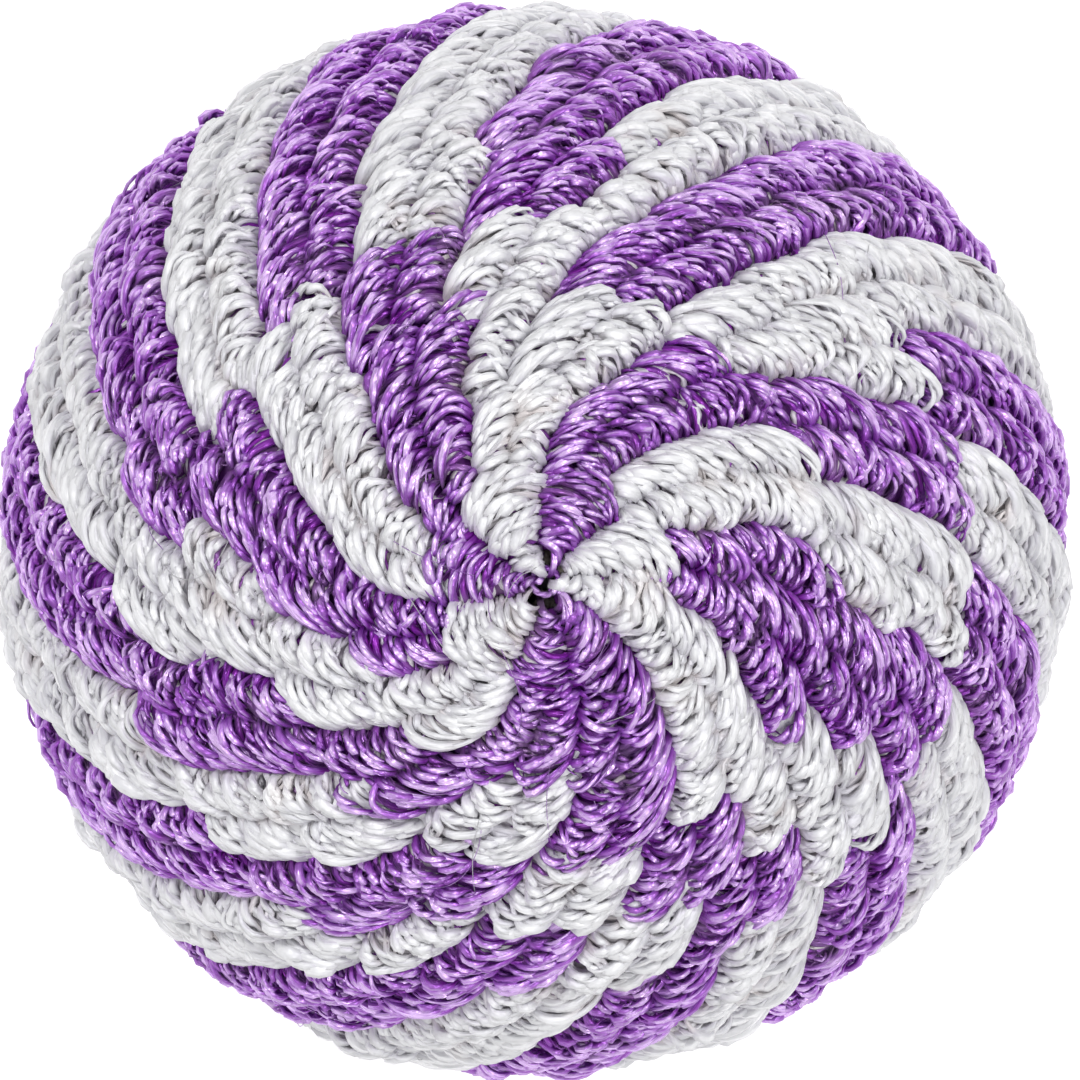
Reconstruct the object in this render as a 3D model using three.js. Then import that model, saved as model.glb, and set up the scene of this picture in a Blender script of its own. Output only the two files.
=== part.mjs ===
// A crocheted juggling ball. Two glossy threads, purple and white, are worked round by round into
// a hollow ball over a sewn cloth liner that is full of pellets.
//
// Millimetres, +Z up. The ball stands on the small flat that its weight presses into the underside,
// with the origin in the middle of that flat. The ring that the crochet starts from is on top.
//
// Polar angles run down from the top of the ball and turn angles run anticlockwise seen from above,
// both in degrees.

import * as THREE from 'three';
import { mergeVertices } from 'three/addons/utils/BufferGeometryUtils.js';

// ---- driving dimensions ----

const BALL_RADIUS = 32;
const FLAT_DEPTH = 1; // how far the ball's own weight flattens it underneath
const COVER_THICKNESS = 3.1;
const GAP = 0.34; // clearance between neighbouring pieces
const WELD = 1e-4; // points closer than this are one point

// ---- the crochet ----

const ROUNDS = 17;
const MIDDLE_ROUND = (ROUNDS + 1) / 2;
const FIRST_ROUND_EDGE = 2.5; // polar angle where the first round leaves the start ring
const ROUND_GROWTH = 0.3; // degrees by which each round is taller than the one above it
const STITCH_LEAN = 32; // angle between a stitch and straight down
const STEEPEST_TURN = 1.45; // most degrees of turn per degree down, next to the ends
const LAP_HEIGHT = 0.7; // how far a round's lower edge stands out over the next round
const LONGEST_STRAIGHT = 23; // most degrees of turn that a carried thread crosses in a straight line

// Stitches of each colour in turn along a round, purple first, and the turn angle where they begin.
// These are the rounds from the start ring to the widest one.
const CHART = [
  { begins: 44, runs: [2, 2, 2, 2, 3, 3] },
  { begins: 347, runs: [2, 2, 2, 2, 2, 2, 2, 2, 4, 2] },
  { begins: 330, runs: [3, 2, 2, 3, 2, 2, 2, 2, 2, 2, 2, 2] },
  { begins: 16, runs: pairs(16) },
  { begins: 7, runs: [2, 3, 2, 1, 2, 2, 2, 2, 2, 2, 2, 2, 2, 1, 2, 2, 2, 2, 2, 2] },
  { begins: 14.5, runs: pairs(22) },
  { begins: 7.5, runs: pairs(22) },
  { begins: 1, runs: pairs(22) },
  { begins: -5, runs: pairs(22) },
];

// Radii of the layers of the cover. Inside each round both threads go all the way round, side by
// side, and the colour that isn't wanted is carried under the stitches of the other.
const COVER_INSIDE = BALL_RADIUS - COVER_THICKNESS;
const CARRIED_OUTSIDE = COVER_INSIDE + 0.65;
const STITCH_INSIDE = CARRIED_OUTSIDE + GAP;

// ---- the two ends of the crochet ----

const START_RING = { hole: 0.55, outside: 1.0, top: BALL_RADIUS - 0.5, height: 1.6, bevel: 0.2, sides: 16 };
const CLOSING_BUTTON = { radius: 1.05, height: 1.5, sides: 16 };
const KNOT_RADIUS = 0.5;

// ---- the liner and the fill ----

const GORES = 6;
const SEAM_OUTSIDE = 28.3;
const SEAM_THICKNESS = 0.4;
const SEAM_WIDTH = 1.0;
const SEAM_END = 4; // polar angle where a seam stops short of the pole
const LINER_OUTSIDE = SEAM_OUTSIDE - SEAM_THICKNESS - GAP;
const LINER_THICKNESS = 0.5;
const LINER_END = 1.5; // polar angle where the cloth stops short of the pole
const GORE_ROWS = 10; // flat strips along each cloth and each seam
const GORE_COLUMNS = 3;
const FILL_RADIUS = 26;

// ---- materials ----

function cloth(name, colour, roughness) {
  return new THREE.MeshStandardMaterial({ name, color: colour, roughness, metalness: 0 });
}

const PURPLE_THREAD = cloth('purple_thread', 0x7a3a9c, 0.4);
const WHITE_THREAD = cloth('white_thread', 0xe2e2e6, 0.4);
const LINER_CLOTH = cloth('liner_cloth', 0xcfc6b4, 0.9);
const SEWING_THREAD = cloth('sewing_thread', 0xeeeae0, 0.7);
const PELLETS = cloth('pellets', 0xd9dde0, 0.5);

// ---- places on the ball ----

// Every point is made about the ball's centre, and none is lower than the flat underneath.
function place(radius, polar, turn) {
  const point = new THREE.Vector3();
  point.setFromSphericalCoords(radius, THREE.MathUtils.degToRad(polar), THREE.MathUtils.degToRad(turn));
  // three.js measures from +Y, so its axes are turned to put +Z up.
  point.set(point.z, point.x, Math.max(point.y, FLAT_DEPTH - BALL_RADIUS));
  return point;
}

// The angle that a short length takes up on a circle.
function angleOf(length, radius) {
  return THREE.MathUtils.radToDeg(length / radius);
}

// ---- closed meshes from rows of points ----

class Skin {
  constructor() {
    this.points = [];
  }

  triangle(a, b, c) {
    this.points.push(a, b, c);
  }

  quad(a, b, c, d) {
    this.triangle(a, b, c);
    this.triangle(a, c, d);
  }

  geometry() {
    const loose = new THREE.BufferGeometry().setFromPoints(this.points);
    return mergeVertices(loose, WELD);
  }
}

// A closed sheet: a grid of points on an outer radius, the same grid on an inner one, and the edge.
function sheet(rows, columns, outsideAt, insideAt) {
  const skin = new Skin();
  for (let row = 0; row < rows; row += 1) {
    for (let column = 0; column < columns; column += 1) {
      const corners = [[row, column], [row + 1, column], [row + 1, column + 1], [row, column + 1]];
      const [a, b, c, d] = corners.map(([r, k]) => outsideAt(r, k));
      const [e, f, g, h] = corners.map(([r, k]) => insideAt(r, k));
      skin.quad(a, b, c, d);
      skin.quad(h, g, f, e);
      if (row === 0) skin.quad(d, h, e, a);
      if (row === rows - 1) skin.quad(b, f, g, c);
      if (column === 0) skin.quad(a, e, f, b);
      if (column === columns - 1) skin.quad(c, g, h, d);
    }
  }
  return skin.geometry();
}

// ---- rounds ----

function pairs(count) {
  return Array(count).fill(2);
}

// Polar angle of the upper edge of a round in the starting half. The heights are shared out so that
// the middle round lies evenly across the widest part of the ball.
function upperEdge(round) {
  const above = round - 1;
  const halfRounds = MIDDLE_ROUND - 0.5;
  const growthSteps = ((MIDDLE_ROUND - 1) * (MIDDLE_ROUND - 2)) / 2 + (MIDDLE_ROUND - 1) / 2;
  const firstHeight = (90 - FIRST_ROUND_EDGE - ROUND_GROWTH * growthSteps) / halfRounds;
  return FIRST_ROUND_EDGE + firstHeight * above + (ROUND_GROWTH * above * (above - 1)) / 2;
}

// The stitches of one round: where each is, which way it leans and which thread makes it. The
// closing half has the same chart as the starting half, turned over.
function plan(round) {
  const twin = Math.min(round, ROUNDS + 1 - round);
  const { begins, runs } = CHART[twin - 1];
  const width = 360 / runs.reduce((sum, run) => sum + run, 0);
  const stitches = [];
  let turn = begins;
  runs.forEach((run, index) => {
    for (let stitch = 0; stitch < run; stitch += 1) {
      stitches.push({ from: turn, to: turn + width, purple: index % 2 === 0 });
      turn += width;
    }
  });
  const top = upperEdge(twin);
  const bottom = twin === MIDDLE_ROUND ? 180 - top : upperEdge(twin + 1);
  if (round === twin) return { top, bottom, stitches };

  const middle = CHART[MIDDLE_ROUND - 1];
  const overturned = 2 * middle.begins + 360 / middle.runs.length;
  const turned = stitches.map(({ from, to, purple }) => {
    return { from: overturned - to, to: overturned - from, purple };
  });
  return { top: 180 - bottom, bottom: 180 - top, stitches: turned.reverse() };
}

// One colour of one round, as a single closed body: the thread goes all the way round inside the
// cover, and stands out as stitches where its own colour shows.
function roundOf(number, purple) {
  const { top, bottom, stitches } = plan(number);
  const middle = (top + bottom) / 2;
  const edge = angleOf(GAP / 2, BALL_RADIUS);
  const split = angleOf(GAP / 2, COVER_INSIDE);
  const leaning = Math.tan(THREE.MathUtils.degToRad(STITCH_LEAN)) / sine(middle);
  const turnPerDegree = Math.min(STEEPEST_TURN, leaning);
  const lean = (polar, turn) => turn - turnPerDegree * (polar - middle);

  // Purple is carried in the upper half of the round and white in the lower half.
  const near = purple ? top + edge : bottom - edge;
  const shared = purple ? middle - split : middle + split;
  const far = purple ? bottom - edge : top + edge;
  const outerAt = (polar) => (polar > middle ? BALL_RADIUS : BALL_RADIUS - LAP_HEIGHT);
  const at = (radius, polar, turn) => place(radius, polar, lean(polar, turn));
  const coreAt = (turn) => [
    at(COVER_INSIDE, near, turn),
    at(COVER_INSIDE, shared, turn),
    at(CARRIED_OUTSIDE, shared, turn),
    at(CARRIED_OUTSIDE, near, turn),
  ];
  const stitchAt = (turn) => [
    at(STITCH_INSIDE, shared, turn),
    at(STITCH_INSIDE, far, turn),
    at(outerAt(far), far, turn),
    at(outerAt(near), near, turn),
  ];

  const skin = new Skin();
  const quad = (a, b, c, d) => (purple ? skin.quad(d, c, b, a) : skin.quad(a, b, c, d));
  const triangle = (a, b, c) => (purple ? skin.triangle(c, b, a) : skin.triangle(a, b, c));

  // Joins two cross-sections along the faces between the listed corners.
  const join = (here, next, corners) => {
    for (const [first, second] of corners) quad(here[first], here[second], next[second], next[first]);
  };
  // The flat end of a row of stitches, left open where the carried thread goes on.
  const end = (turn, facesForward) => {
    const [, , coreShared, coreNear] = coreAt(turn);
    const [s0, s1, s2, s3] = stitchAt(turn);
    const outline = [s1, s2, s3, coreNear, coreShared];
    for (let i = 0; i + 1 < outline.length; i += 1) {
      if (facesForward) triangle(s0, outline[i], outline[i + 1]);
      else triangle(s0, outline[i + 1], outline[i]);
    }
  };

  // The cross-sections stand at the stitches' edges. A short carried stretch goes straight across.
  const side = angleOf(GAP / 2, BALL_RADIUS * sine(middle));
  const count = stitches.length;
  const sections = stitches.map((stitch, index) => {
    const before = stitches[(index + count - 1) % count];
    const own = stitch.purple === purple;
    const ownBefore = before.purple === purple;
    const inset = own === ownBefore ? 0 : side;
    const from = own ? stitch.from + inset : stitch.from - inset;
    return { turn: from, own, ownBefore, width: stitch.to - stitch.from };
  }).filter((section, index, all) => {
    const neighbours = all[(index + count - 1) % count].ownBefore && all[(index + 1) % count].own;
    return section.own || section.ownBefore || !neighbours || section.width > LONGEST_STRAIGHT / 2;
  });
  sections.forEach((section, index) => {
    const next = sections[(index + 1) % sections.length];
    const here = section.turn;
    const there = next.turn + (index + 1 === sections.length ? 360 : 0);
    const coreFaces = section.own ? [[0, 1], [1, 2], [3, 0]] : [[0, 1], [1, 2], [2, 3], [3, 0]];
    join(coreAt(here), coreAt(there), coreFaces);
    if (!section.own) return;
    const outline = (turn) => [coreAt(turn)[2], ...stitchAt(turn), coreAt(turn)[3]];
    join(outline(here), outline(there), [[0, 1], [1, 2], [2, 3], [3, 4], [4, 5]]);
    if (!section.ownBefore) end(here, false);
    if (!next.own) end(there, true);
  });
  return skin.geometry();
}

function sine(degrees) {
  return Math.sin(THREE.MathUtils.degToRad(degrees));
}

// ---- the ends ----

// Turns of purple thread drawn tight round a small hole, which the first round is worked into.
function startRing() {
  const { hole, outside, top, height, bevel, sides } = START_RING;
  const bottom = top - height;
  const profile = [
    new THREE.Vector2(hole, bottom),
    new THREE.Vector2(outside, bottom),
    new THREE.Vector2(outside, top - bevel),
    new THREE.Vector2(outside - bevel, top),
    new THREE.Vector2(hole + bevel, top),
    new THREE.Vector2(hole, top - bevel),
    new THREE.Vector2(hole, bottom),
  ];
  return upright(new THREE.LatheGeometry(profile, sides));
}

// The last round drawn together: a small flat button of thread in the middle of the underside.
function closingButton() {
  const { radius, height, sides } = CLOSING_BUTTON;
  const underside = FLAT_DEPTH - BALL_RADIUS;
  const button = new THREE.CylinderGeometry(radius, radius, height, sides);
  return upright(button.translate(0, underside + height / 2, 0));
}

// The knot that fastens off the thread, inside the cover above the closing button.
function closingKnot() {
  const above = FLAT_DEPTH - BALL_RADIUS + CLOSING_BUTTON.height + GAP + KNOT_RADIUS;
  return upright(new THREE.SphereGeometry(KNOT_RADIUS, 10, 6).translate(0, above, 0));
}

// three.js turns its round shapes about +Y. This stands one up along +Z.
function upright(geometry) {
  geometry.rotateX(Math.PI / 2);
  geometry.deleteAttribute('normal');
  geometry.deleteAttribute('uv');
  return mergeVertices(geometry, WELD);
}

// ---- the liner ----

// One of the leaf-shaped cloths that are sewn edge to edge into the liner bag.
function gore(index) {
  const polarAt = (row) => LINER_END + ((180 - 2 * LINER_END) * row) / GORE_ROWS;
  const turnAt = (row, column) => {
    const inset = angleOf(GAP / 2, LINER_OUTSIDE * sine(polarAt(row)));
    const from = (360 / GORES) * index + inset;
    const to = (360 / GORES) * (index + 1) - inset;
    return from + ((to - from) * column) / GORE_COLUMNS;
  };
  const at = (radius) => (row, column) => place(radius, polarAt(row), turnAt(row, column));
  return sheet(GORE_ROWS, GORE_COLUMNS, at(LINER_OUTSIDE), at(LINER_OUTSIDE - LINER_THICKNESS));
}

// The sewing thread worked over the join between two gores, as one flat ridge.
function seam(index) {
  const polarAt = (row) => SEAM_END + ((180 - 2 * SEAM_END) * row) / GORE_ROWS;
  const turnAt = (row, column) => {
    const halfWidth = angleOf(SEAM_WIDTH / 2, SEAM_OUTSIDE * sine(polarAt(row)));
    return (360 / GORES) * index + (column === 0 ? -halfWidth : halfWidth);
  };
  const at = (radius) => (row, column) => place(radius, polarAt(row), turnAt(row, column));
  return sheet(GORE_ROWS, 1, at(SEAM_OUTSIDE), at(SEAM_OUTSIDE - SEAM_THICKNESS));
}

// The pellets lie together as one loose mass that fills the liner.
function pelletFill() {
  return upright(new THREE.SphereGeometry(FILL_RADIUS, 18, 12));
}

// ---- the ball ----

const ball = new THREE.Group();
ball.position.z = BALL_RADIUS - FLAT_DEPTH;

function add(name, geometry, material) {
  const mesh = new THREE.Mesh(geometry, material);
  mesh.name = name;
  ball.add(mesh);
}

function numbered(name, number) {
  return `${name}_${String(number).padStart(2, '0')}`;
}

add('start_ring', startRing(), PURPLE_THREAD);
for (let number = 1; number <= ROUNDS; number += 1) {
  add(numbered('purple_round', number), roundOf(number, true), PURPLE_THREAD);
  add(numbered('white_round', number), roundOf(number, false), WHITE_THREAD);
}
add('closing_button', closingButton(), PURPLE_THREAD);
add('closing_knot', closingKnot(), PURPLE_THREAD);
for (let index = 0; index < GORES; index += 1) {
  add(numbered('liner_gore', index + 1), gore(index), LINER_CLOTH);
  add(numbered('liner_seam', index + 1), seam(index), SEWING_THREAD);
}
add('pellet_fill', pelletFill(), PELLETS);

const model = new THREE.Group();
model.add(ball);

export default model;
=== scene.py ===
"""A crocheted juggling ball: two glossy threads worked in rounds over a sewn liner full of pellets.

Lengths in this script are millimetres about the ball's centre, and become metres when a mesh is made.
Polar angles run down from the top of the ball and turn angles run anticlockwise seen from above, both
in degrees. Heights are measured from the ball's surface, so that most of them are negative.
"""

import bpy
import numpy as np
from mathutils import Matrix, Vector


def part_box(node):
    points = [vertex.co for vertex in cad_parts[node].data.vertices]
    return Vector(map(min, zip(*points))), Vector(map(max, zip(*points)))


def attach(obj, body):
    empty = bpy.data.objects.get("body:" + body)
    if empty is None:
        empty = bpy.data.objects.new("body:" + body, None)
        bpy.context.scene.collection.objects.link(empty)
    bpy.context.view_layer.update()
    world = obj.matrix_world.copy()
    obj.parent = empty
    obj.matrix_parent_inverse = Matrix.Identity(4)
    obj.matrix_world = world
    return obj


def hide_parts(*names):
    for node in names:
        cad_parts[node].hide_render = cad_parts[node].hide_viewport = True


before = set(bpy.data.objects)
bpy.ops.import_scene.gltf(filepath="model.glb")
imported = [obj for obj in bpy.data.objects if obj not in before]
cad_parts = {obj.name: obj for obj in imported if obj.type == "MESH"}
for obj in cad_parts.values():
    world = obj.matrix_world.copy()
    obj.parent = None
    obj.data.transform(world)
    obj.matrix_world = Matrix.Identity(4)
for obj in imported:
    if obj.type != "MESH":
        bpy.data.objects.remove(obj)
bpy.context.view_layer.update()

METRES = 0.001

# ---- driving dimensions, the same as the frame's ----

BALL_RADIUS = 32
FLAT_DEPTH = 1
COVER_THICKNESS = 3.1
COVER_INSIDE = BALL_RADIUS - COVER_THICKNESS
CENTRE_HEIGHT = BALL_RADIUS - FLAT_DEPTH
GAP = 0.34  # clearance between neighbouring pieces

ROUNDS = 17
MIDDLE_ROUND = (ROUNDS + 1) // 2
FIRST_ROUND_EDGE = 2.5  # polar angle where the first round begins, at the start ring
ROUND_GROWTH = 0.3  # how much taller each round is than the one above, down to the middle
STITCH_LEAN = 32  # how far the stitches lean, in degrees from straight down the ball
STEEPEST_TURN = 1.45  # the most that a stitch turns for each degree down, next to the ends of the ball


def pairs(count):
    return [2] * count


# For each round from the start ring to the middle: the turn angle where its first stitch begins, and how
# many stitches of each colour follow in turn, purple first.
CHART = [
    (44, [2, 2, 2, 2, 3, 3]),
    (347, [2, 2, 2, 2, 2, 2, 2, 2, 4, 2]),
    (330, [3, 2, 2, 3, 2, 2, 2, 2, 2, 2, 2, 2]),
    (16, pairs(16)),
    (7, [2, 3, 2, 1, 2, 2, 2, 2, 2, 2, 2, 2, 2, 1, 2, 2, 2, 2, 2, 2]),
    (14.5, pairs(22)),
    (7.5, pairs(22)),
    (1, pairs(22)),
    (-5, pairs(22)),
]

# ---- the stitches ----

END_JOINING = 1.6  # how many stitches of the chart are drawn together into one next to the ends
ELLIPSE = 1.9  # a stitch's section is the upper half of an ellipse, 2 / ELLIPSE as wide as the stitch
OWN_DROP = 1.0  # how far a stitch falls away to a neighbour of its own colour
OTHER_DROP = 1.6  # and to one of the other colour
TUCK = 1.1  # how far a stitch's upper end lies under the round above
TUCK_BEGINS = -0.3  # where it starts to come out, down from its upper end
TUCK_ENDS = 0.42  # and where it is right out, as a share of its length
LOWER_DROP = 0.35  # how far it falls again at its lower end
LOWER_BEGINS = 0.86  # share of its length where that starts
LOWER_ENDS = 1.15  # and ends, on the next round
POLE_MARGIN = 0.6  # polar angle that no stitch goes past, at either end
HOLE_EDGE = 2.3  # polar angle where the first stitches come out of the hole in the start ring
HOLE_TUCK = 0.9  # how far they lie down into it
HOLE_STRETCH = 0.7  # how far the hole reaches out, and draws in, on its long and its narrow sides
HOLE_HEADING = 68  # turn angle of its long way

# ---- the thread: a value in braces is for the purple thread (True) and for the white (False) ----

LOOP_PITCH = 0.56  # from one loop of a stitch to the next
LOOP_WIDTH = 1.13  # width of a loop as a share of its stitch's
FIRST_LOOP = 0.35  # share of the pitch from where a stitch's loops begin to the first of them
TUCKED_LENGTH = 0.9  # how far above the stitch's upper end that is, under the round above
OVERLAP = 0.45  # how far the last loop hangs over the next round
DROOP = 0.2  # how far a loop sags away from the start ring between its two ends
LAST_DROOP = 0.8  # and the loop that ends the stitch
DROOP_LEVEL = 0.55  # share of the sag by which the two ends start higher
SLANT = 0.95  # how much lower a loop ends on the side of its pair's middle
LAST_LOOPS = 2  # loops at a stitch's lower end that never sink out of sight
MISSING = 0.03  # share of the others that have sunk
LOOSE = 0.12  # share of the loops that are loose
LAST_LOOSE = 0.5  # how much larger that share is at a stitch's lower end
LOOSENESS = 0.6  # how much further a loose loop sags and its plies lie apart
LOOSE_RISE = 0.45  # and how far it stands out

PLIES = 3
PLY_RADIUS = 0.215
FULLNESS = {True: 1, False: 1.32}  # how thick the plies are
TAPER = {True: 0.46, False: 0.27}  # how much thinner a ply is where it lies under the next
FULLEST = 1.06  # how thick it is where it lies on top
ENDS_THICKNESS = 0.6  # and at the two ends of its loop
ENDS_SPREAD = 0.55  # share of the spread of the plies that is left there
LOOP_SPREAD = 0.2  # how far the plies of a loop lie to either side of its middle
LOOP_DEPTH = 0.32  # and above or below it
DIVE = 1.6  # how suddenly a ply goes down under the next
TWIST_PITCH = 2.2  # length in which the plies of the thread turn once round each other
SHORTEST_LOOP = 1.2  # least length that a loop's twist is worked out for
DEGREES_DOWN = 1.8  # polar angle for each millimetre down the ball
PLY_POINTS = 16
PLY_SIDES = 4

CREST = -0.48  # height of a loop's middle at the crest of a stitch
UNDER_DEPTH = {True: 0.42, False: 0.33}  # how far below that the loops under those in sight lie
CARRIED_DEPTH = 0.5  # and the other colour's thread that is carried along inside the stitches
CORE_DEPTH = 0.75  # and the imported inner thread
PRESSED = 0.35  # height above the ground below which thread is squashed, so that it stays above the ground

# How much things differ from one loop, ply or stitch to the next, as standard deviations. Those of droop,
# slant, twist and thickness are shares of the thing's usual size, and that of phase is in radians.
LOOP_VARIES = {
    "droop": 0.8, "width": 0.08, "across": 0.06, "slant": 0.85, "down": 0.15, "twist": 0.3, "height": 0.13,
}
PLY_VARIES = {"across": 0.03, "slant": 0.5, "down": 0.07, "phase": 0.4, "height": 0.07, "thickness": 0.3}
STITCH_VARIES = {"down": 0.15, "height": 0.15}

# How far out of the ball's thread a place on it lies, from 0 to 1. Its colour follows this as painted light
# and shade: painted shade where thread lies buried, a painted highlight where it stands out.
MIDDLE_PAINTED_LIGHT = 0.5
CREST_PAINTED_LIGHT = 0.38  # painted light: how much lighter where a ply lies on top, and darker, as painted shade, where it lies under
SIDE_PAINTED_SHADE = 0.5  # painted shade: how much darker at the sides of a stitch, towards the valleys between stitches
OUTER_PAINTED_LIGHT = 0.25  # painted light: how much lighter on the side of a ply that faces out
UNDER_PAINTED_LIGHT = 0.16  # painted shade for the loops under those in sight
STRAY_PAINTED_LIGHT = 0.9  # painted light for loose filaments

STRAYS = 2  # loose single filaments in each colour of each round
STRAY_RADIUS = 0.028


# ---- places on the ball ----

def place(radius, polar, turn):
    """Points at a radius from the centre, pressed flat where the ball stands on its underside."""
    polar = np.radians(polar)
    turn = np.radians(turn)
    down = np.maximum(-np.cos(polar), 1e-6)
    surface = np.minimum(BALL_RADIUS, (BALL_RADIUS - FLAT_DEPTH) / down)
    share = np.clip((radius - COVER_INSIDE) / COVER_THICKNESS, 0, None)
    radius = radius - (BALL_RADIUS - surface) * share
    across = radius * np.sin(polar)
    parts = (across * np.cos(turn), across * np.sin(turn), radius * np.cos(polar))
    return np.stack(np.broadcast_arrays(*parts), -1)


def smooth(low, high, value):
    t = np.clip((value - low) / (high - low), 0, 1)
    return t * t * (3 - 2 * t)


def unit(vectors):
    return vectors / np.maximum(np.linalg.norm(vectors, axis=-1, keepdims=True), 1e-12)


# ---- meshes from arrays ----

class Skin:
    """Gathers the vertices and faces of a piece. Each face has a material number, and each of its corners
    has a place along the thread and a level of painted light and shade, from 0, painted shade where thread
    lies buried, to 1, a painted highlight where it stands out.
    """

    def __init__(self):
        self.points = []
        self.corners = []
        self.sizes = []
        self.materials = []
        self.threads = []
        self.painted_lights = []
        self.count = 0

    def add_faces(self, faces, material, thread, exposure=MIDDLE_PAINTED_LIGHT):
        """faces, (face, corner), number the points that are added next, and thread is (face, corner, 2)."""
        self.corners.append((faces + self.count).reshape(-1))
        self.sizes.append(np.full(len(faces), faces.shape[1]))
        self.materials.append(np.full(len(faces), material))
        self.threads.append(thread.reshape(-1, 2))
        self.painted_lights.append(np.broadcast_to(exposure, faces.shape).reshape(-1))

    def add_points(self, points):
        self.points.append(points.reshape(-1, 3))
        self.count += len(self.points[-1])

    def piece(self, name, materials):
        """Makes the mesh and its object, with the thread next to the ground squashed to stay above it."""
        points = np.concatenate(self.points).astype(np.float64)
        height = points[:, 2] + CENTRE_HEIGHT
        pressed = PRESSED * np.exp(np.minimum(height / PRESSED - 1, 0))
        points[:, 2] = np.where(height < PRESSED, pressed, height)
        corners = np.concatenate(self.corners)
        sizes = np.concatenate(self.sizes)
        starts = np.concatenate([[0], np.cumsum(sizes)[:-1]])

        mesh = bpy.data.meshes.new(name)
        mesh.vertices.add(len(points))
        mesh.vertices.foreach_set("co", (points * METRES).ravel())
        mesh.loops.add(len(corners))
        mesh.loops.foreach_set("vertex_index", corners.astype(np.int32))
        mesh.polygons.add(len(sizes))
        mesh.polygons.foreach_set("loop_start", starts.astype(np.int32))
        mesh.polygons.foreach_set("material_index", np.concatenate(self.materials).astype(np.int32))
        mesh.polygons.foreach_set("use_smooth", np.ones(len(sizes), bool))
        painted_lights = np.repeat(np.concatenate(self.painted_lights), 2)
        for layer, values in (("thread", np.concatenate(self.threads)), ("exposure", painted_lights)):
            mesh.uv_layers.new(name=layer)
            mesh.uv_layers[layer].uv.foreach_set("vector", values.astype(np.float32).ravel())
        mesh.update(calc_edges=True)
        mesh.validate()
        for material in materials:
            mesh.materials.append(material)
        piece = bpy.data.objects.new(name, mesh)
        bpy.context.scene.collection.objects.link(piece)
        return piece


def tubes(skin, paths, radii, sides, material, painted_light_levels=MIDDLE_PAINTED_LIGHT):
    """Adds closed tubes along paths, (..., point, 3), with a radius and a painted light level at each point.
    """
    radii = np.broadcast_to(radii, paths.shape[:-1])
    painted_light_levels = np.broadcast_to(painted_light_levels, paths.shape[:-1])
    paths = paths.reshape(-1, paths.shape[-2], 3)
    count, steps = paths.shape[:2]
    radii = radii.reshape(count, steps)
    painted_light_levels = painted_light_levels.reshape(count, steps)

    along = unit(np.gradient(paths, axis=1))
    normals = np.empty_like(paths)
    # The first normal points outward, and a little aside, in case the tube itself runs outward.
    normal = unit(paths[:, 0]) + 0.01
    for step in range(steps):
        tangent = along[:, step]
        normal = unit(normal - (normal * tangent).sum(-1, keepdims=True) * tangent)
        normals[:, step] = normal
    binormals = np.cross(along, normals)
    angle = 2 * np.pi * (np.arange(sides) + 0.5) / sides
    rim = normals[:, :, None] * -np.cos(angle)[:, None] + binormals[:, :, None] * np.sin(angle)[:, None]
    points = paths[:, :, None] + radii[:, :, None, None] * rim

    first = np.arange(count)[:, None, None] * steps * sides
    row = first + np.arange(steps - 1)[None, :, None] * sides
    next_row = row + sides
    side = np.arange(sides)[None, None, :]
    after = (side + 1) % sides
    quads = np.stack([row + side, row + after, next_row + after, next_row + side], -1).reshape(-1, 4)

    pieces = np.linalg.norm(np.diff(paths, axis=1), axis=-1)
    length = np.concatenate([np.zeros((count, 1)), np.cumsum(pieces, 1)], 1)
    around = np.stack([side, side + 1, side + 1, side], -1) / sides
    forward = np.stack([length[:, :-1], length[:, :-1], length[:, 1:], length[:, 1:]], -1)[:, :, None]
    thread = np.stack(np.broadcast_arrays(around, forward), -1).reshape(-1, 4, 2)
    # Painted light: the side of each ply that faces out is painted lighter than the side that faces in.
    outward = (rim * unit(paths)[:, :, None]).sum(-1)
    exposure = np.clip(painted_light_levels[:, :, None] + OUTER_PAINTED_LIGHT * outward, 0, 1).reshape(-1)
    skin.add_faces(quads, material, thread, exposure[quads])

    near = first[:, 0] + np.arange(sides)[None, ::-1]
    far = first[:, 0] + (steps - 1) * sides + np.arange(sides)[None]
    caps = np.concatenate([near, far])
    skin.add_faces(caps, material, np.zeros(caps.shape + (2,)))
    skin.add_points(points)


def slabs(skin, outer, inner, material, places=None):
    """Adds closed bodies between two grids of points, (body, row, column, 3), with places on their cloth."""
    points = np.stack([outer, inner], 1)
    number = np.arange(points[..., 0].size).reshape(points.shape[:-1])
    top, under = number[:, 0], number[:, 1]

    def cells(grid):
        quads = [grid[:, :-1, :-1], grid[:, 1:, :-1], grid[:, 1:, 1:], grid[:, :-1, 1:]]
        return np.stack(quads, -1).reshape(-1, 4)

    def wall(a, b):
        return np.stack([a[:, 1:], a[:, :-1], b[:, :-1], b[:, 1:]], -1).reshape(-1, 4)

    faces = np.concatenate([
        cells(top),
        cells(under)[:, ::-1],
        wall(top[:, 0], under[:, 0])[:, ::-1],
        wall(top[:, -1], under[:, -1]),
        wall(top[:, :, 0], under[:, :, 0]),
        wall(top[:, :, -1], under[:, :, -1])[:, ::-1],
    ])
    if places is None:
        thread = np.zeros(faces.shape + (2,))
    else:
        thread = np.stack([places, places], 1).reshape(-1, 2)[faces]
    skin.add_faces(faces, material, thread)
    skin.add_points(points)


# ---- materials ----

# Scales of the noise in the materials, in features to the metre.
DYE = 640
THIN_PATCHES = 260
CORE_PATCHES = 420
CORE_FIBRES = 3600
CLOTH_SHADE = 300
SCUFFS = 1500
FLOOR_GRAIN = 40
FILAMENTS = (6, 0.8, 1)  # fine filaments: how many round a ply, and to the millimetre along it

TONE_PLACES = (0.0, 0.3, 0.55, 0.8, 1.0)


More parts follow.
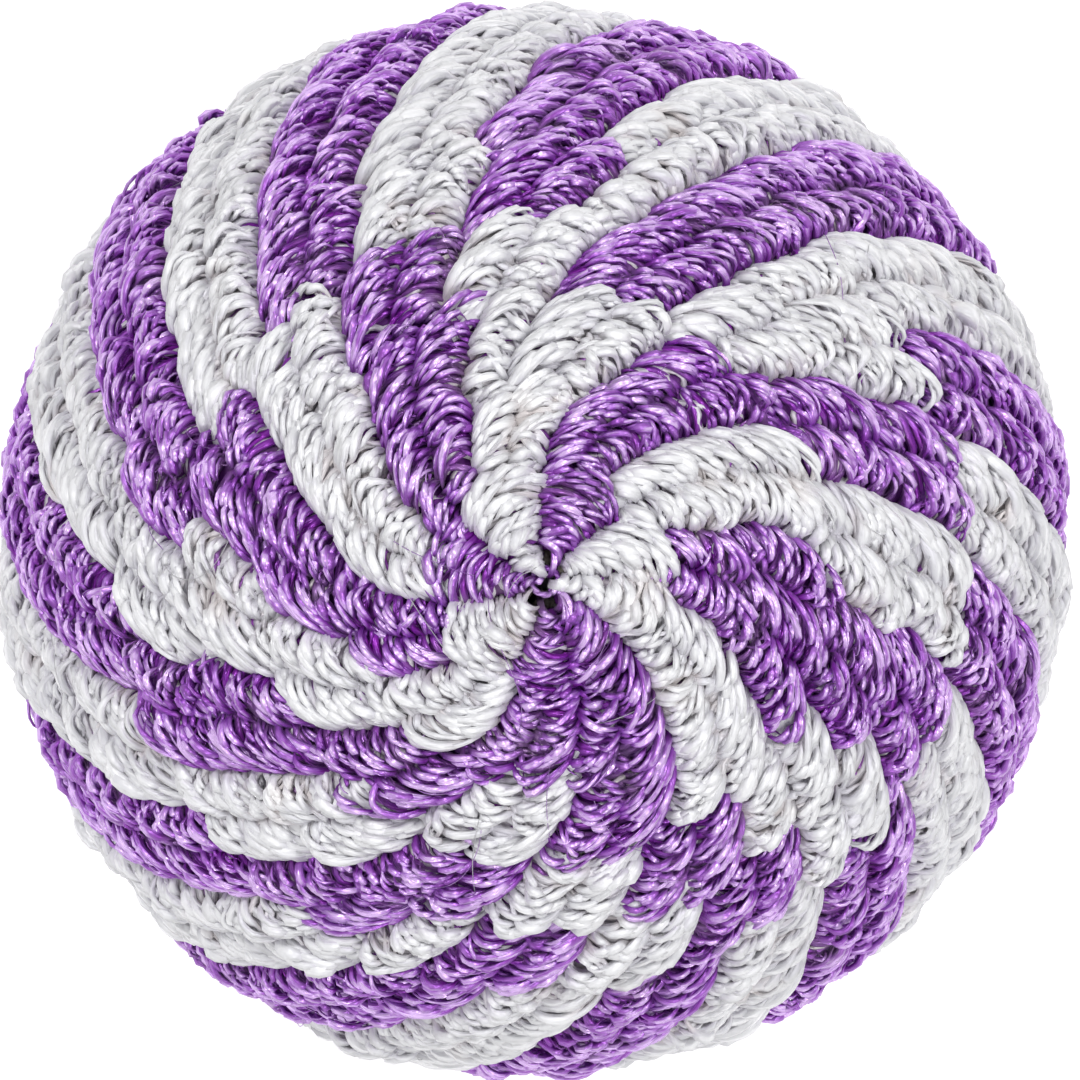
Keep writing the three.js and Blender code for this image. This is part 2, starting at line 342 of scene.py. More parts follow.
class Shader:
    """A material made of nodes, with short calls for the nodes used here."""

    def __init__(self, name):
        self.material = bpy.data.materials.new(name)
        self.material.use_nodes = True
        self.tree = self.material.node_tree
        self.surface = self.tree.nodes["Principled BSDF"]

    def node(self, kind, inputs=(), **settings):
        node = self.tree.nodes.new(kind)
        for key, value in settings.items():
            setattr(node, key, value)
        for socket, value in dict(inputs).items():
            self.feed(node.inputs[socket], value)
        return node

    def feed(self, socket, value):
        if isinstance(value, bpy.types.NodeSocket):
            self.tree.links.new(value, socket)
        elif socket.type == "RGBA" and len(value) == 3:
            socket.default_value = tuple(value) + (1,)
        else:
            socket.default_value = value

    def noise(self, vector, scale, detail=2):
        inputs = {"Vector": vector, "Scale": scale, "Detail": detail}
        return self.node("ShaderNodeTexNoise", inputs).outputs["Fac"]

    def position(self):
        return self.node("ShaderNodeTexCoord").outputs["Object"]

    def layer(self, name):
        return self.node("ShaderNodeUVMap", uv_map=name).outputs["UV"]

    def own_number(self):
        """A number from 0 to 1 that differs from each loose part of the mesh to the next."""
        return self.node("ShaderNodeNewGeometry").outputs["Random Per Island"]

    def ramp(self, factor, stops):
        """Colours or grey levels at places from 0 to 1."""
        node = self.node("ShaderNodeValToRGB", {"Fac": factor})
        marks = node.color_ramp.elements
        while len(marks) < len(stops):
            marks.new(0.5)
        for mark, (position, colour) in zip(marks, stops):
            mark.position = position
            mark.color = (colour,) * 3 + (1,) if np.ndim(colour) == 0 else tuple(colour) + (1,)
        return node.outputs["Color"]

    def sum(self, *terms):
        """Adds up (value, share) pairs."""
        total = 0.0
        for value, share in terms:
            node = self.node("ShaderNodeMath", operation="MULTIPLY_ADD")
            for socket, number in zip(node.inputs, (value, share, total)):
                self.feed(socket, number)
            total = node.outputs[0]
        return total

    def mix(self, factor, a, b):
        node = self.node("ShaderNodeMix", data_type="RGBA")
        for socket, value in ((0, factor), (6, a), (7, b)):
            self.feed(node.inputs[socket], value)
        return node.outputs[2]

    def finish(self, colour, roughness, height=None, distance=0.0, strength=1.0, **constants):
        self.feed(self.surface.inputs["Base Color"], colour)
        self.feed(self.surface.inputs["Roughness"], roughness)
        for socket, value in constants.items():
            self.surface.inputs[socket.replace("_", " ")].default_value = value
        if height is not None:
            inputs = {"Height": height, "Distance": distance, "Strength": strength}
            bump = self.node("ShaderNodeBump", inputs)
            self.feed(self.surface.inputs["Normal"], bump.outputs["Normal"])
        return self.material


def thread_material(name, shade_to_highlight_tones, recess, roughness, **shine):
    """Silky thread, painted with light and shade: from the first tone, where it lies buried, to the last, a
    painted highlight where it stands out. Every ply has a shade of its own, and fine filaments run along it."""
    shader = Shader(name)
    along = shader.layer("thread")
    exposure = shader.node("ShaderNodeSeparateXYZ", {"Vector": shader.layer("exposure")}).outputs["X"]
    dye = shader.noise(shader.position(), DYE, 3)
    patches = shader.noise(shader.position(), THIN_PATCHES)
    stretched = shader.node("ShaderNodeMapping", {"Vector": along, "Scale": FILAMENTS}).outputs["Vector"]
    filaments = shader.noise(stretched, 1.0, 3)
    own = shader.own_number()
    # Painted light and shade plus random tone. Noise is about a half on average, so the last term brings the
    # sum back to about the painted light level.
    shade = shader.sum((exposure, 1.0), (own, 0.26), (dye, 0.9), (filaments, 1.2), (1.0, -1.2))
    colour = shader.ramp(shade, list(zip(TONE_PLACES, shade_to_highlight_tones)))
    # In places the other thread, carried inside, shows through where this one lies deep.
    thin = shader.sum((patches, 3.6), (exposure, -1.1), (1.0, -1.25))
    colour = shader.mix(shader.ramp(thin, [(0.0, 0.0), (1.0, 0.8)]), colour, recess)
    gloss = shader.ramp(filaments, [(0.3, roughness[1]), (0.7, roughness[0])])
    return shader.finish(colour, gloss, filaments, 0.00015, **shine)


def core_material(name, shades):
    """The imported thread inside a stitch, seen only in the gaps between its loops."""
    shader = Shader(name)
    patches = shader.noise(shader.position(), CORE_PATCHES)
    fibres = shader.noise(shader.position(), CORE_FIBRES)
    colour = shader.ramp(patches, list(zip((0.35, 0.55, 0.72), shades)))
    roughness = shader.ramp(fibres, [(0.3, 0.75), (0.7, 0.55)])
    return shader.finish(colour, roughness, fibres, 0.00008, 0.8, Specular_IOR_Level=0.3)


def woven_material(name):
    """Unbleached cotton: uneven warp and weft threads, with a slight change of shade from place to place."""
    shader = Shader(name)
    bands = []
    for direction, threads in (("X", 0.9), ("Y", 0.8)):
        inputs = {"Vector": shader.layer("thread"), "Scale": threads, "Distortion": 0.6}
        bands.append(shader.node("ShaderNodeTexWave", inputs, bands_direction=direction).outputs["Color"])
    weave = shader.mix(0.5, *bands)
    shade = shader.noise(shader.position(), CLOTH_SHADE, 3)
    base = shader.ramp(shade, [(0.3, (0.60, 0.55, 0.46)), (0.7, (0.70, 0.65, 0.56))])
    colour = shader.mix(shader.ramp(weave, [(0.2, 0.5), (0.6, 0)]), base, (0.42, 0.37, 0.30))
    roughness = shader.ramp(weave, [(0, 0.95), (1, 0.8)])
    return shader.finish(colour, roughness, weave, 0.00015, 0.8, Sheen_Weight=0.2)


def pellet_material(name):
    """Milky recycled plastic, each pellet a slightly different grey."""
    shader = Shader(name)
    scuffs = shader.noise(shader.position(), SCUFFS, 3)
    greys = [(0, (0.55, 0.58, 0.60)), (0.6, (0.70, 0.73, 0.75)), (1, (0.80, 0.80, 0.78))]
    colour = shader.ramp(shader.own_number(), greys)
    return shader.finish(colour, shader.ramp(scuffs, [(0.3, 0.35), (0.7, 0.6)]), scuffs, 0.00005, 0.5)


# The dark low tones are painted shade where the thread lies buried, and the pale lilac last tone is a
# painted highlight.
PURPLE = thread_material(
    "purple_thread",
    [
        (0.28, 0.016, 0.42),
        (0.26, 0.034, 0.41),
        (0.29, 0.072, 0.45),
        (0.40, 0.155, 0.59),
        (0.76, 0.52, 0.92),
    ],
    (0.34, 0.24, 0.38),
    (0.24, 0.34),
    Metallic=0.45, Specular_IOR_Level=1.0, Specular_Tint=(0.85, 0.66, 1, 1),
    Sheen_Weight=0.1, Sheen_Roughness=0.35, Sheen_Tint=(0.8, 0.55, 1, 1),
)
# The first, buried tone is lighter than the middle ones: painted light in the gaps between the plies.
WHITE = thread_material(
    "white_thread",
    [
        (0.76, 0.74, 0.80),
        (0.71, 0.695, 0.75),
        (0.66, 0.655, 0.70),
        (0.70, 0.70, 0.725),
        (0.79, 0.79, 0.81),
    ],
    (0.72, 0.665, 0.645),
    (0.36, 0.48),
    Metallic=0.1, Specular_IOR_Level=0.8, Sheen_Weight=0.6, Sheen_Roughness=0.4, Sheen_Tint=(1, 0.98, 1, 1),
)
# Darker tones where the thread lies buried are painted shade, and the lightest a painted highlight.
SEWING = thread_material(
    "sewing_cotton",
    [
        (0.50, 0.46, 0.38),
        (0.62, 0.58, 0.50),
        (0.72, 0.68, 0.60),
        (0.79, 0.76, 0.69),
        (0.84, 0.82, 0.76),
    ],
    (0.60, 0.55, 0.46),
    (0.55, 0.75),
    Specular_IOR_Level=0.3, Sheen_Weight=0.3,
)
# The purple core is painted far darker than the purple thread: painted shade for the depth it lies at.
PURPLE_CORE_SHADED = core_material("purple_core_painted_shade", [(0.08, 0.008, 0.13), (0.12, 0.016, 0.19), (0.22, 0.13, 0.25)])
WHITE_CORE = core_material("white_core", [(0.76, 0.72, 0.78), (0.82, 0.79, 0.83), (0.84, 0.78, 0.75)])
LINER = woven_material("liner_cotton")
PELLETS = pellet_material("pellet_plastic")


# ---- the rounds ----

def upper_edge(number):
    """Polar angle of the upper edge of a round in the starting half."""
    above = number - 1
    steps = (MIDDLE_ROUND - 1) * (MIDDLE_ROUND - 2) / 2 + (MIDDLE_ROUND - 1) / 2
    first_height = (90 - FIRST_ROUND_EDGE - ROUND_GROWTH * steps) / (MIDDLE_ROUND - 0.5)
    return FIRST_ROUND_EDGE + first_height * above + ROUND_GROWTH * above * (above - 1) / 2


class Stitches:
    """The stitches of one colour in one round, as arrays with one number for each stitch."""

    def __init__(self, rows):
        self.turn, self.width, self.side, self.left_drop, self.right_drop = np.array(rows, float).T

    def shaped(self, dimensions):
        """The same numbers with empty dimensions after them, to combine with those of loops and plies."""
        made = Stitches.__new__(Stitches)
        for key, values in vars(self).items():
            setattr(made, key, values.reshape((-1,) + (1,) * dimensions))
        return made


class Round:
    """Where the stitches of one round are, and which thread makes each. The lower half of the ball is the
    upper half turned over."""

    def __init__(self, number):
        twin = min(number, ROUNDS + 1 - number)
        turned = number != twin
        self.top = upper_edge(twin)
        self.bottom = 180 - self.top if twin == MIDDLE_ROUND else upper_edge(twin + 1)
        if turned:
            self.top, self.bottom = 180 - self.bottom, 180 - self.top
        self.middle = (self.top + self.bottom) / 2
        lean = np.tan(np.radians(STITCH_LEAN)) / np.sin(np.radians(self.middle))
        self.turn_per_degree = min(STEEPEST_TURN, lean)
        self.stitches = self.charted(twin, turned)
        self.at_hole = number == 1
        self.start = HOLE_EDGE if self.at_hole else self.top
        self.room = np.radians(self.bottom - self.start) * BALL_RADIUS

    def charted(self, twin, turned):
        """The stitches that the chart gives, by whether they are purple."""
        begins, runs = CHART[twin - 1]
        middle_begins, middle_runs = CHART[MIDDLE_ROUND - 1]
        overturned = 2 * middle_begins + 360 / len(middle_runs)
        rows = {True: [], False: []}
        turn = begins
        for index, run in enumerate(runs):
            count = round(run / END_JOINING) if twin == 1 else run
            width = 360 / sum(runs) * run / count
            for stitch in range(count):
                middle = turn + width / 2
                side = 1 if stitch % 2 == 0 else -1
                left_drop = OWN_DROP if stitch > 0 else OTHER_DROP
                right_drop = OWN_DROP if stitch < count - 1 else OTHER_DROP
                if turned:
                    row = [overturned - middle, width, -side, right_drop, left_drop]
                else:
                    row = [middle, width, side, left_drop, right_drop]
                rows[index % 2 == 0].append(row)
                turn += width
        return {purple: Stitches(found) for purple, found in rows.items()}

    def at(self, stitch, across, down, height):
        """Points across a stitch, from -0.5 to 0.5, and down from its upper end, with a height from the
        surface. The hole's stretch moves the upper ends of the first stitches, and less further down."""
        if self.at_hole:
            stretch = HOLE_STRETCH * np.cos(2 * np.radians(stitch.turn - HOLE_HEADING))
            down = down + stretch * np.clip(1 - down / self.room, 0, 1)
        polar = self.start + np.degrees(down / BALL_RADIUS)
        turn = stitch.turn + across * stitch.width - self.turn_per_degree * (polar - self.middle)
        return place(BALL_RADIUS + height, np.clip(polar, POLE_MARGIN, 180 - POLE_MARGIN), turn)

    def relief(self, stitch, across, down):
        """Height of the surface of a stitch, counted from its crest, and so negative beside that."""
        drop = np.where(across < 0, stitch.left_drop, stitch.right_drop)
        side = np.sqrt(1 - np.clip(ELLIPSE * across, -1, 1) ** 2)
        tucked = 1 - smooth(TUCK_BEGINS, TUCK_ENDS * self.room, down)
        tuck = HOLE_TUCK if self.at_hole else TUCK
        ending = smooth(LOWER_BEGINS * self.room, LOWER_ENDS * self.room, down)
        return -drop * (1 - side) - tuck * tucked - LOWER_DROP * ending


def loops(skin, ring, purple, rng):
    """The loops of thread that a round's stitches show, as twisted plies."""
    stitch = ring.stitches[purple].shaped(3)
    count = len(stitch.turn)
    above = 0 if ring.at_hole else TUCKED_LENGTH
    covered = ring.room + OVERLAP + above
    rows = round(covered / LOOP_PITCH)
    row = np.arange(rows)[None, :, None, None]
    ply = np.arange(PLIES)[None, None, :, None]
    t = np.linspace(0, 1, PLY_POINTS)[None, None, None, :]

    def by_stitch(kind):
        return rng.normal(0, STITCH_VARIES[kind], (count, 1, 1, 1))

    def by_loop(kind):
        return rng.normal(0, LOOP_VARIES[kind], (count, rows, 1, 1))

    def by_ply(kind):
        return rng.normal(0, PLY_VARIES[kind], (count, rows, PLIES, 1))

    bulge = np.sin(np.pi * t)
    last = (row / (rows - 1)) ** 4
    loose = rng.random((count, rows, 1, 1)) < LOOSE + LAST_LOOSE * last
    loose = loose * rng.random((count, rows, 1, 1))
    looseness = 1 + LOOSENESS * loose
    droop = (DROOP * (1 + by_loop("droop")) + (LAST_DROOP - DROOP) * last) * looseness
    across = (t - 0.5) * (LOOP_WIDTH + by_loop("width")) + by_ply("across") + by_loop("across")
    slant = SLANT * stitch.side * (1 + by_loop("slant")) + by_ply("slant")
    down = covered / rows * (row + FIRST_LOOP) - above + by_loop("down") + by_ply("down")
    if ring.at_hole:
        down = down + by_stitch("down")
    down = down + slant * across + droop * (bulge - DROOP_LEVEL)

    polar = ring.start + down.mean(-1, keepdims=True) * DEGREES_DOWN
    length = np.radians(stitch.width) * BALL_RADIUS * np.sin(np.radians(polar))
    turns = np.clip(length, SHORTEST_LOOP, None) / TWIST_PITCH * (1 + by_loop("twist"))
    angle = 2 * np.pi * (turns * (t - 0.5) + ply / PLIES)
    angle = angle + by_ply("phase") + rng.uniform(0, 2 * np.pi, (count, rows, 1, 1))
    spread = ENDS_SPREAD + (1 - ENDS_SPREAD) * bulge
    down = down + LOOP_SPREAD * looseness * spread * np.cos(angle)
    # A ply stays at the top of its thread for a while, and then dives.
    wave = np.tanh(DIVE * np.sin(angle)) / np.tanh(DIVE)
    height = CREST + ring.relief(stitch, across, down) + LOOP_DEPTH / FULLNESS[purple] * spread * wave
    height = height + by_loop("height") + by_ply("height") + by_stitch("height") + LOOSE_RISE * loose * bulge
    radius = FULLNESS[purple] * PLY_RADIUS * (1 + by_ply("thickness"))
    radius = radius * (ENDS_THICKNESS + (1 - ENDS_THICKNESS) * bulge ** 0.6)
    radius = radius * (FULLEST - TAPER[purple] * (1 - wave))
    # Painted light and shade: lighter where a ply lies on top, darker where it dives and towards the sides
    # of the stitch.
    painted_light_levels = MIDDLE_PAINTED_LIGHT + CREST_PAINTED_LIGHT * wave - SIDE_PAINTED_SHADE * np.abs(2 * across) ** 3

    paths = ring.at(stitch, across, down, height)
    painted_light_levels = np.broadcast_to(painted_light_levels, paths.shape[:-1])
    shown = (rng.random((count, rows)) > MISSING) | (np.arange(rows) >= rows - LAST_LOOPS)
    tubes(skin, paths[shown], radius[shown], PLY_SIDES, 0, painted_light_levels[shown])


def under_loops(skin, ring, purple, rng):
    """Loops that lie under the ones in sight and show in the gaps between them, each as one soft strand."""
    points = 10
    strand_radius = 0.27
    width = 1.1  # share of the stitch's
    usual_slant = 0.6  # share of that of the loops in sight
    slant_varies = 0.5
    down_varies = 0.08
    height_varies = 0.06
    rippling = 0.07  # how far a strand rises and falls
    ripples = 14  # radians of it from end to end
    stitch = ring.stitches[purple].shaped(2)
    rows = round(ring.room / LOOP_PITCH)
    row = np.arange(rows)[None, :, None]
    t = np.linspace(0, 1, points)[None, None, :]
    per_loop = (len(stitch.turn), rows, 1)
    across = (t - 0.5) * width
    slant = SLANT * stitch.side * (usual_slant + rng.normal(0, slant_varies, per_loop))
    down = LOOP_PITCH * (row + 0.5) + rng.normal(0, down_varies, per_loop)
    down = down + slant * across + DROOP * np.sin(np.pi * t)
    ripple = rippling * np.sin(ripples * t + rng.uniform(0, 6.3, per_loop))
    height = CREST - UNDER_DEPTH[purple] + ring.relief(stitch, across, down)
    height = height + rng.normal(0, height_varies, per_loop) + ripple
    paths = ring.at(stitch, across, down, height)
    # Painted shade on these lower loops, a little lighter where they ripple up.
    tubes(skin, paths, strand_radius, PLY_SIDES, 0, UNDER_PAINTED_LIGHT + 2 * ripple)


def carried(skin, ring, purple, rng):
    """This colour's thread where it is carried along inside the stitches of the other colour."""
    points = 9
    plies = 4
    ply_radius = 0.9 * PLY_RADIUS
    first_down = 0.34  # share of the stitch's length where the first ply lies
    apart = 0.13  # and from one to the next
    down_varies = 0.12
    height_varies = 0.04
    wander = 0.25  # how far a ply wanders up and down its stitch
    wanders = 9  # radians of it across the stitch
    reach = 0.56  # how far it reaches to either side, as a share of the stitch's width
    stitch = ring.stitches[not purple].shaped(2)
    per_ply = (len(stitch.turn), plies, 1)
    ply = np.arange(plies)[None, :, None]
    across = np.linspace(-reach, reach, points)[None, None, :]
    down = ring.room * (first_down + apart * ply) + rng.normal(0, down_varies, per_ply)
    down = down + wander * np.cos(wanders * across + ply)
    height = CREST - CARRIED_DEPTH + ring.relief(stitch, across, down)
    height = height + rng.normal(0, height_varies, per_ply)
    # Painted shade: the carried thread gets the darkest, buried tones.
    tubes(skin, ring.at(stitch, across, down, height), ply_radius, PLY_SIDES, 0, 0)


def cores(skin, ring, purple):
    """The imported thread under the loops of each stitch, as one closed pad."""
    rows = 9
    columns = 8
    narrowing = 0.96  # width of the pad at the liner, as a share of that at the top
    stitch = ring.stitches[purple].shaped(2)
    across = np.linspace(-0.5, 0.5, columns)[None, None, :]
    down = np.linspace(0, ring.room, rows)[None, :, None]
    outer = ring.at(stitch, across, down, CREST - CORE_DEPTH + ring.relief(stitch, across, down))
    inner = ring.at(stitch, across * narrowing, down, -COVER_THICKNESS)
    slabs(skin, outer, inner, 1)


def stray_fibres(skin, ring, purple, rng):
    """A few single filaments that have worked loose and lie across the stitches."""
    points = 14
    lengths = (2.5, 8)
    rises = (0.1, 0.7)  # how far the middle of one stands up
    polar_angles = (2, 165)  # none lies nearer to the ends than these
    starts = (0.2, 0.8)  # where one begins, as a share of a stitch's length
    bend = 0.7  # how far it turns from end to end, in radians
    ends_height = -0.35
    kink = 0.08  # how far it rises and falls on the way
    kinks = 9  # radians of that from end to end
    stitch = ring.stitches[purple]
    per_fibre = (STRAYS, 1)
    picked = rng.integers(0, len(stitch.turn), STRAYS)
    t = np.linspace(0, 1, points)[None, :]
    length = rng.uniform(*lengths, per_fibre)
    heading = rng.uniform(0, 2 * np.pi, per_fibre) + rng.normal(0, bend, per_fibre) * t
    away = length * t * np.cos(heading)
    down = rng.uniform(*starts, per_fibre) * ring.room + length * t * np.sin(heading)
    polar = np.clip(ring.start + np.degrees(down / BALL_RADIUS), *polar_angles)
    turn = stitch.turn[picked][:, None] + np.degrees(away / BALL_RADIUS) / np.sin(np.radians(polar))
    rise = rng.uniform(*rises, per_fibre)
    height = ends_height + rise * np.sin(np.pi * t) + kink * np.sin(kinks * t + 6 * rise)
    # Painted light: loose filaments get the light tones of thread that stands out.
    tubes(skin, place(BALL_RADIUS + height, polar, turn), STRAY_RADIUS, 3, 0, STRAY_PAINTED_LIGHT)


def finished(skin, name, materials, node):
    """Makes the piece, which stands for a CAD node."""
    piece = skin.piece(name, materials)
    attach(piece, "root")
    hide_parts(node)
    return piece


def round_piece(number, purple):
    rng = np.random.default_rng(100 * number + purple)
    ring = Round(number)
    skin = Skin()
    cores(skin, ring, purple)
    loops(skin, ring, purple, rng)
    under_loops(skin, ring, purple, rng)
    carried(skin, ring, purple, rng)
    stray_fibres(skin, ring, purple, rng)
    colour = "purple" if purple else "white"
    materials = [PURPLE, PURPLE_CORE_SHADED] if purple else [WHITE, WHITE_CORE]
    name = f"{colour}_stitches_{number:02d}"
    finished(skin, name, materials, f"{colour}_round_{number:02d}")


# ---- the two ends of the crochet ----

RING_RADIUS = 0.78
RING_HEIGHT = 30  # of its last turn, which is drawn down into the ball
RING_DEPTH = 0.3  # how far its first turn lies below that
RING_TURNS = 4
BUTTON_STRAND = 0.14
BUTTON_LOOPS = 18
BUTTON_SWIRL = 0.5  # how far a loop turns for each millimetre out, in radians
# Across from the middle and up from the underside: out along the ground, up over the edge and back in.
BUTTON_OUTLINE = [
    (0.06, 0.2), (0.35, 0.15), (0.65, 0.15), (0.88, 0.24),
    (0.93, 0.5), (0.93, 1.0), (0.8, 1.28), (0.4, 1.33),
]
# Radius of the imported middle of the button, at heights up from the underside.
BUTTON_MIDDLE = [(0.5, 0.25), (0.82, 0.4), (0.82, 1.1), (0.5, 1.25)]
KNOT_SIZE = 0.12  # the knot's path is about five times as wide
KNOT_STRAND = 0.12


def start_ring():
    """Turns of thread drawn tight round the hole, lying one on another."""
    points = 24 * RING_TURNS
    twists = 4 * RING_TURNS
    ply_radius = 0.13
    apart = 0.07  # from the middle of the thread to the middle of a ply
    skin = Skin()
    t = np.linspace(0, 1, points)
    angle = 2 * np.pi * RING_TURNS * t
    for ply in range(2):
        twist = 2 * np.pi * (twists * t + ply / 2)
        radius = RING_RADIUS + apart * np.cos(twist)
        height = RING_HEIGHT - RING_DEPTH * (1 - t) + apart * np.sin(twist)
        tubes(skin, np.stack([radius * np.cos(angle), radius * np.sin(angle), height], -1), ply_radius, 6, 0)
    finished(skin, "start_ring_thread", [PURPLE], "start_ring")


def closing_button():
    """The last loops, drawn together under the ball: each runs out from the middle and up over the edge."""
    skin = Skin()
    across, up = np.array(BUTTON_OUTLINE).T
    height = FLAT_DEPTH - BALL_RADIUS + up
    angle = 2 * np.pi * np.arange(BUTTON_LOOPS)[:, None] / BUTTON_LOOPS + BUTTON_SWIRL * across
    paths = np.stack([across * np.cos(angle), across * np.sin(angle), height + 0 * angle], -1)
    tubes(skin, paths, BUTTON_STRAND, 5, 0)
    radii, up = np.array(BUTTON_MIDDLE).T
    middle = np.stack([0 * up, 0 * up, FLAT_DEPTH - BALL_RADIUS + up], -1)
    tubes(skin, middle, radii, 16, 1)
    finished(skin, "closing_button_thread", [PURPLE, PURPLE_CORE_SHADED], "closing_button")


def closing_knot():
    """An overhand knot with its two ends left open, inside the cover."""
    low, high = (Vector(corner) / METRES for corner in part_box("closing_knot"))
    middle = np.array((low + high) / 2) - [0, 0, CENTRE_HEIGHT]
    points = 60
    open_end = 0.12
    t = np.linspace(open_end, 2 * np.pi - open_end, points)
    path = np.stack([np.sin(t) + 2 * np.sin(2 * t), np.cos(t) - 2 * np.cos(2 * t), -1.2 * np.sin(3 * t)], -1)
    skin = Skin()
    tubes(skin, middle + KNOT_SIZE * path, KNOT_STRAND, 6, 0)
    finished(skin, "closing_knot_thread", [PURPLE], "closing_knot")


# ---- the liner and the fill ----

GORES = 6
SEAM_OUTSIDE = 28.3
SEAM_THICKNESS = 0.4
SEAM_END = 4
WHIP_STITCHES = 76
WHIP_RADIUS = 0.13
WHIP_REACH = 0.42  # how far a whip stitch reaches to either side of its seam
WHIP_SLANT = 0.55  # and how much further down the ball it ends than its middle, in degrees
WHIP_SUNK = 0.14  # how far its middle lies below the outside of the seam
WHIP_DROP = 0.26  # and its ends below its middle
LINER_OUTSIDE = SEAM_OUTSIDE - SEAM_THICKNESS - GAP
LINER_THICKNESS = 0.5
LINER_END = 1.5
SEAM_SINK = 0.12  # how much lower a gore lies at its seams than in its middle
PUCKER = 0.09  # how far the cloth puckers up and down along its seams
PUCKERS = 42  # radians of that to each radian down the ball
FILL_RADIUS = 26
PELLET_SPACING = 3.3
PELLET_RADIUS = 1.35
PELLET_SHAKE = 0.28  # how far each may be, each way, from its place in a close packing
# Radius of a pellet at places along it.
PELLET_OUTLINE = [(0.5, -1.15), (0.95, -0.95), (1.25, -0.4), (1.25, 0.4), (0.95, 0.95), (0.5, 1.15)]


def liner_gore(index):
    """One leaf of cloth, stretched over the pellets, fuller in the middle and puckered at its seams."""
    rows = 72
    columns = 19
    polar = np.linspace(LINER_END, 180 - LINER_END, rows)[None, :, None]
    across = np.linspace(-1, 1, columns)[None, None, :]
    sine = np.sin(np.radians(polar))
    half = 180 / GORES - np.degrees(GAP / 2 / (LINER_OUTSIDE * sine))
    turn = 360 / GORES * (index + 0.5) + half * across
    pucker = PUCKER * np.sin(np.radians(polar) * PUCKERS + index) * np.abs(across) ** 6
    radius = LINER_OUTSIDE - SEAM_SINK * across ** 4 + pucker
    cloth_across = np.radians(half * across) * sine * LINER_OUTSIDE
    cloth_down = np.radians(polar) * LINER_OUTSIDE
    places = np.stack(np.broadcast_arrays(cloth_across, cloth_down), -1)
    skin = Skin()
    slabs(skin, place(radius, polar, turn), place(radius - LINER_THICKNESS, polar, turn), 0, places)
    name = f"liner_cloth_{index + 1:02d}"
    piece = finished(skin, name, [LINER], f"liner_gore_{index + 1:02d}")


def liner_seam(index):
    """Slanting whip stitches over the join between two gores."""
    polar = np.linspace(SEAM_END, 180 - SEAM_END, WHIP_STITCHES)[:, None]
    points = 7
    t = np.linspace(-1, 1, points)[None, :]
    turn = 360 / GORES * index + np.degrees(WHIP_REACH * t / (SEAM_OUTSIDE * np.sin(np.radians(polar))))
    radius = SEAM_OUTSIDE - WHIP_SUNK - WHIP_DROP * t ** 4
    skin = Skin()
    tubes(skin, place(radius, polar + WHIP_SLANT * t, turn), WHIP_RADIUS, 5, 0)
    name = f"seam_stitches_{index + 1:02d}"
    finished(skin, name, [SEWING], f"liner_seam_{index + 1:02d}")


def pellets():
    """Small rounded plastic pellets, packed as close as they settle, each lying its own way."""
    rng = np.random.default_rng(7)
    sizes = (0.94, 1.04)
    reach = int(FILL_RADIUS / PELLET_SPACING * 1.5)
    grid = np.stack(np.meshgrid(*[np.arange(-reach, reach + 1)] * 3, indexing="ij"), -1).reshape(-1, 3)
    centres = grid[grid.sum(1) % 2 == 0] * PELLET_SPACING / np.sqrt(2)
    centres = centres[np.linalg.norm(centres, axis=1) < FILL_RADIUS - PELLET_RADIUS]
    centres = centres + rng.uniform(-PELLET_SHAKE, PELLET_SHAKE, centres.shape)
    axes = unit(rng.normal(0, 1, centres.shape))
    radii, along = np.array(PELLET_OUTLINE).T
    paths = centres[:, None] + axes[:, None] * along[None, :, None]
    skin = Skin()
    tubes(skin, paths, radii * rng.uniform(*sizes, (len(paths), 1)), 6, 0)
    piece = finished(skin, "pellets", [PELLETS], "pellet_fill")


for number in range(1, ROUNDS + 1):
    round_piece(number, True)
    round_piece(number, False)
start_ring()
closing_button()
closing_knot()
pellets()
for index in range(GORES):
    liner_gore(index)
    liner_seam(index)

# ---- floor, light and camera, in metres ----

FLOOR_REACH = 2.0
LAMP_SIZE = 0.13
CENTRE = Vector((0, 0, CENTRE_HEIGHT * METRES))


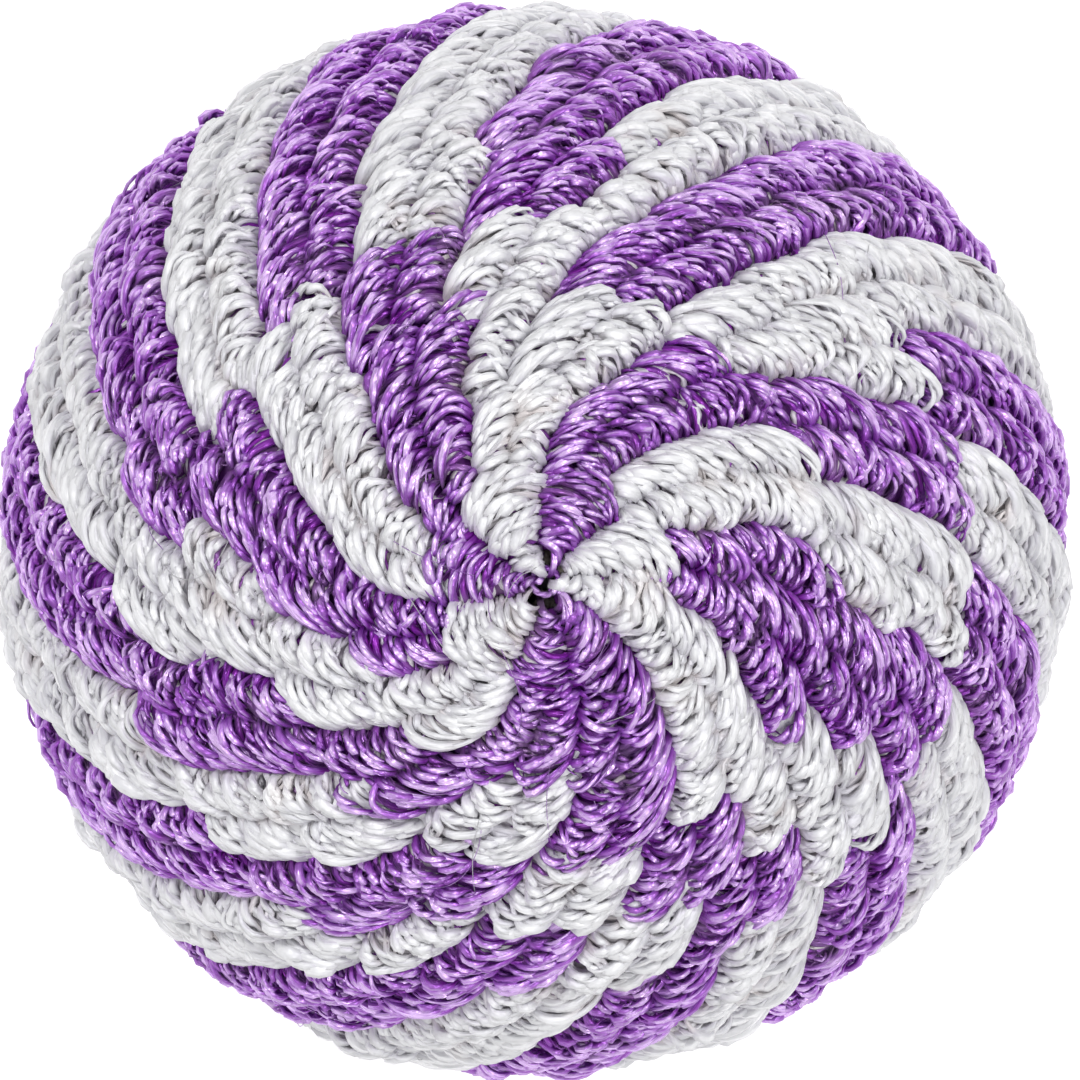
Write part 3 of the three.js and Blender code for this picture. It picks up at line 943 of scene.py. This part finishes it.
def floor():
    mesh = bpy.data.meshes.new("floor")
    corners = [(x * FLOOR_REACH, y * FLOOR_REACH, 0) for x, y in ((-1, -1), (1, -1), (1, 1), (-1, 1))]
    mesh.from_pydata(corners, [], [(0, 1, 2, 3)])
    plane = bpy.data.objects.new("floor", mesh)
    bpy.context.scene.collection.objects.link(plane)
    shader = Shader("pale_floor")
    grain = shader.noise(shader.position(), FLOOR_GRAIN)
    colour = shader.ramp(grain, [(0.3, (0.93, 0.93, 0.935)), (0.7, (0.95, 0.95, 0.955))])
    glow = {"Emission_Color": (1, 1, 1, 1), "Emission_Strength": 0.36}
    mesh.materials.append(shader.finish(colour, 0.9, Specular_IOR_Level=0.1, **glow))


def studio_light(name, spot, watts):
    """A square lamp at a spot, turned towards the ball."""
    data = bpy.data.lights.new(name, "AREA")
    data.shape = "SQUARE"
    data.size = LAMP_SIZE
    data.energy = watts
    lamp = bpy.data.objects.new(name, data)
    lamp.location = spot
    lamp.rotation_euler = (Vector(spot) - CENTRE).to_track_quat("Z", "Y").to_euler()
    bpy.context.scene.collection.objects.link(lamp)


def world_light(strength):
    world = bpy.data.worlds.new("studio")
    world.use_nodes = True
    background = world.node_tree.nodes["Background"]
    background.inputs["Color"].default_value = (1, 1, 1, 1)
    background.inputs["Strength"].default_value = strength
    bpy.context.scene.world = world


def camera():
    """A long lens almost straight above the ball, with its start ring near the middle of the picture."""
    distance = 0.7205
    aside = -0.000333  # from the middle of the picture to the ball's centre
    above = -0.000125
    data = bpy.data.cameras.new("camera")
    data.lens = 400
    data.sensor_width = 36
    data.clip_start = 0.01
    data.clip_end = 20
    lens = bpy.data.objects.new("camera", data)
    right = Vector((1, -0.0175, 0.020)).normalized()
    back = Vector((-0.020, 0.076, 0.997)).normalized()
    up = back.cross(right).normalized()
    right = up.cross(back)
    spot = CENTRE + back * distance - right * aside - up * above
    lens.matrix_world = Matrix.Translation(spot) @ Matrix((right, up, back)).transposed().to_4x4()
    bpy.context.scene.collection.objects.link(lens)
    bpy.context.scene.camera = lens


floor()
world_light(0.6)
studio_light("key", (-0.26, 0.32, 0.68), 1.8)
studio_light("right", (0.36, 0.10, 0.66), 1.4)
studio_light("low", (0.0, -0.36, 0.66), 1.2)
camera()
bpy.context.scene.view_settings.view_transform = "Standard"
